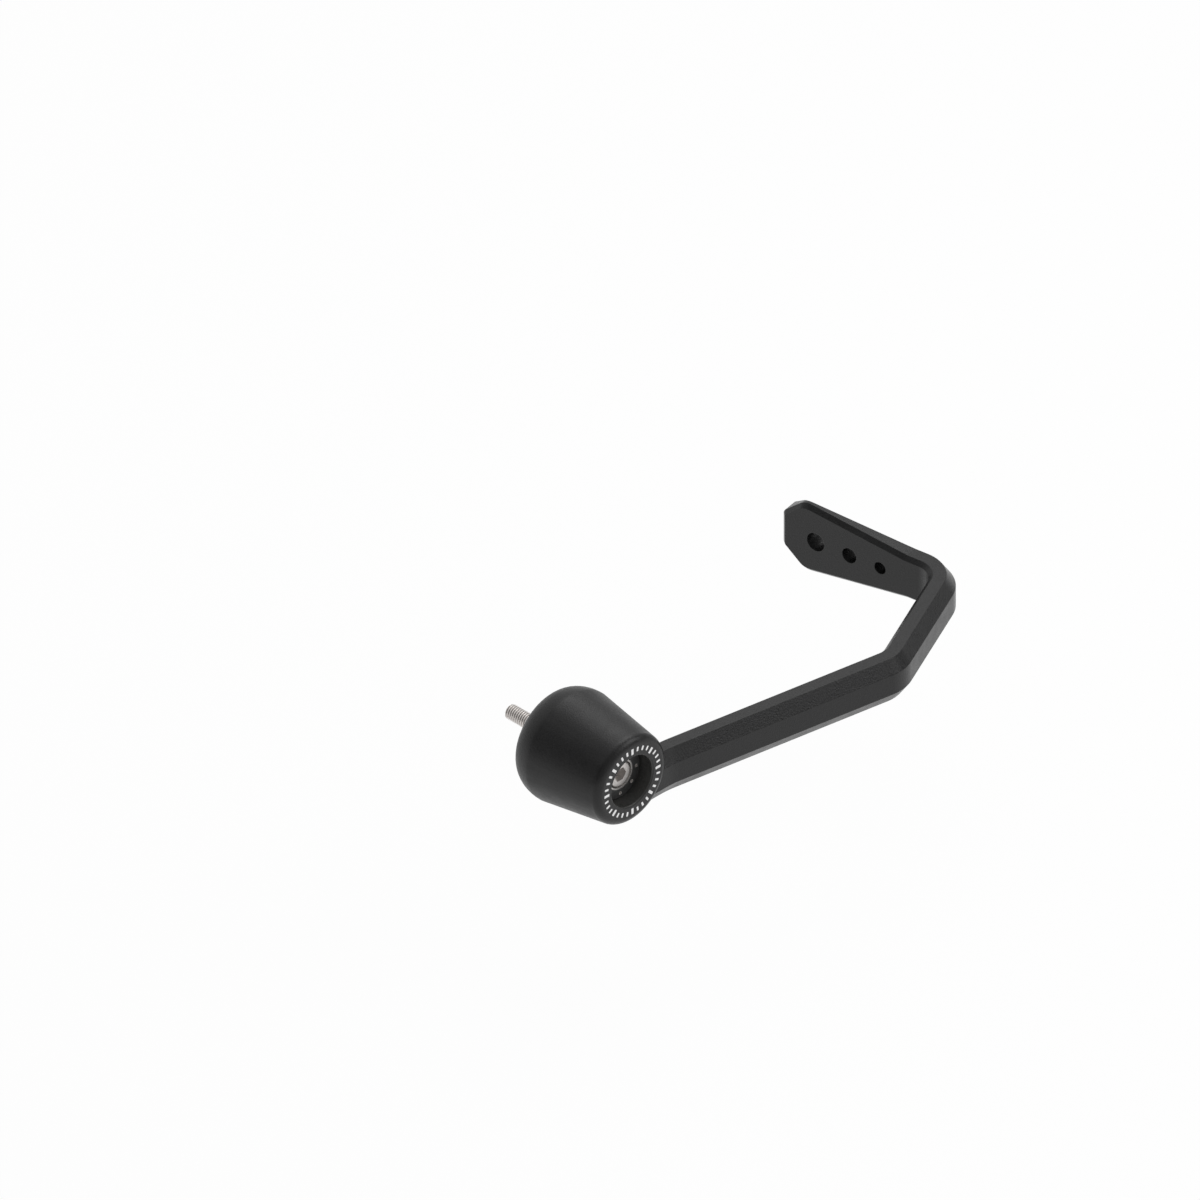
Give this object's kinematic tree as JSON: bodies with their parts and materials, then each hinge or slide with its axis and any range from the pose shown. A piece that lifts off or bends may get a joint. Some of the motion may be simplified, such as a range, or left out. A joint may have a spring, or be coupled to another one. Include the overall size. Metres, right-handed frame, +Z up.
{
  "type": "brake lever guard",
  "caption": "Brake lever guard for a handlebar's right end: a conical bobbin on a steel core carries a bevelled arm that bends forward and ends in a drilled, flared plate.",
  "frame": {"origin": "middle of the core boss's end face, which seats on the end of the handlebar; the bar's axis is the X axis", "axes": "+X runs outward along the bar to the bobbin's outer face, +Y runs forward to the brake lever, +Z is up"},
  "size_m": [0.1005, 0.2035, 0.0464],
  "materials": {
    "guard": "black, fine moulded grain",
    "core_steel": "turned steel",
    "ring_nut": "black, satin",
    "bolt_steel": "bright zinc"
  },
  "bodies": {
    "root": {"guard_body": "guard", "bar_end_core": "core_steel", "ring_nut": "ring_nut", "clamp_bolt": "bolt_steel"}
  },
  "joints": []
}
